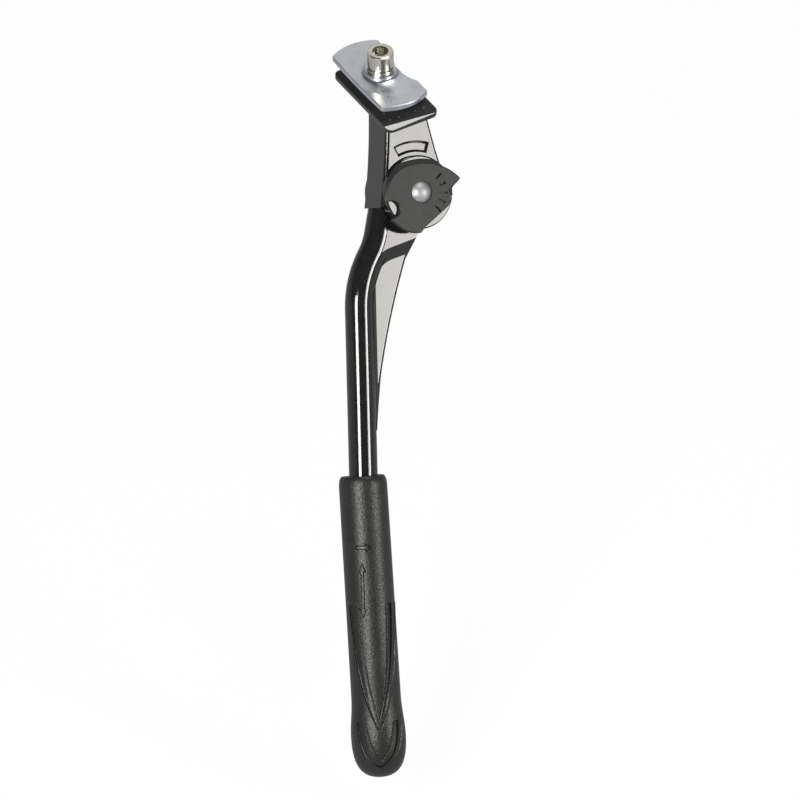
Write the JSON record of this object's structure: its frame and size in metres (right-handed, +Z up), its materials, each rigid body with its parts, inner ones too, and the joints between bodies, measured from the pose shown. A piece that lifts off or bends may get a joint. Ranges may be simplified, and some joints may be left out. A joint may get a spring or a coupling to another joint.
{
  "type": "bicycle kickstand",
  "caption": "Folding side stand: clamp head with plate and bolt, leaning riveted pivot with a spring detent, swept round leg with a web, and a sliding foot with a lock button.",
  "frame": {"origin": "where the clamp bolt's axis meets the top of the clamp pad, under the chainstays", "axes": "+X towards the front wheel, +Y outwards to the stand's side, +Z up along the clamp bolt"},
  "size_m": [0.14, 0.2279, 0.274],
  "materials": {
    "black_enamel": "gloss",
    "zinc_plate": "satin",
    "bright_steel": "satin",
    "grey_moulding": "satin",
    "polished_rivet": "satin",
    "spring_steel": "satin",
    "black_moulding": "matte",
    "button_moulding": "satin"
  },
  "bodies": {
    "head": {"mounting_head": "black_enamel", "pivot_cover": "grey_moulding", "pivot_rivet": "polished_rivet", "rivet_washer": "bright_steel", "detent_spring": "spring_steel"},
    "clamp": {"clamp_plate": "zinc_plate", "lock_washer": "bright_steel", "clamp_bolt": "bright_steel"},
    "plunger": {"detent_plunger": "spring_steel"},
    "leg": {"leg": "black_enamel", "pivot_bush": "spring_steel"},
    "foot": {"foot": "black_moulding", "button_spring": "spring_steel"},
    "button": {"foot_button": "button_moulding"}
  },
  "joints": [
    {"name": "leg_fold", "type": "hinge", "parent": "head", "child": "leg", "pos_m": [0.0081, 0.04816, -0.0295], "axis": [0, 0.809, 0.5878], "range_deg": [0, 105]},
    {"name": "clamp_lift", "type": "slide", "parent": "head", "child": "clamp", "axis": [0, 0, 1], "range_m": [0, 0.012]},
    {"name": "foot_slide", "type": "slide", "parent": "leg", "child": "foot", "axis": [0.3074, 0.5593, -0.7699], "range_m": [0, 0.036]},
    {"name": "button_press", "type": "slide", "parent": "foot", "child": "button", "axis": [0.6117, 0.5036, 0.6101], "range_m": [0, 0.0017], "stiffness_N_per_m": 150, "deforming": ["button_spring"]},
    {"name": "detent_drop", "type": "slide", "parent": "head", "child": "plunger", "axis": [0, 0.5878, -0.809], "range_m": [0, 0.0012], "stiffness_N_per_m": 400, "deforming": ["detent_spring"]}
  ]
}
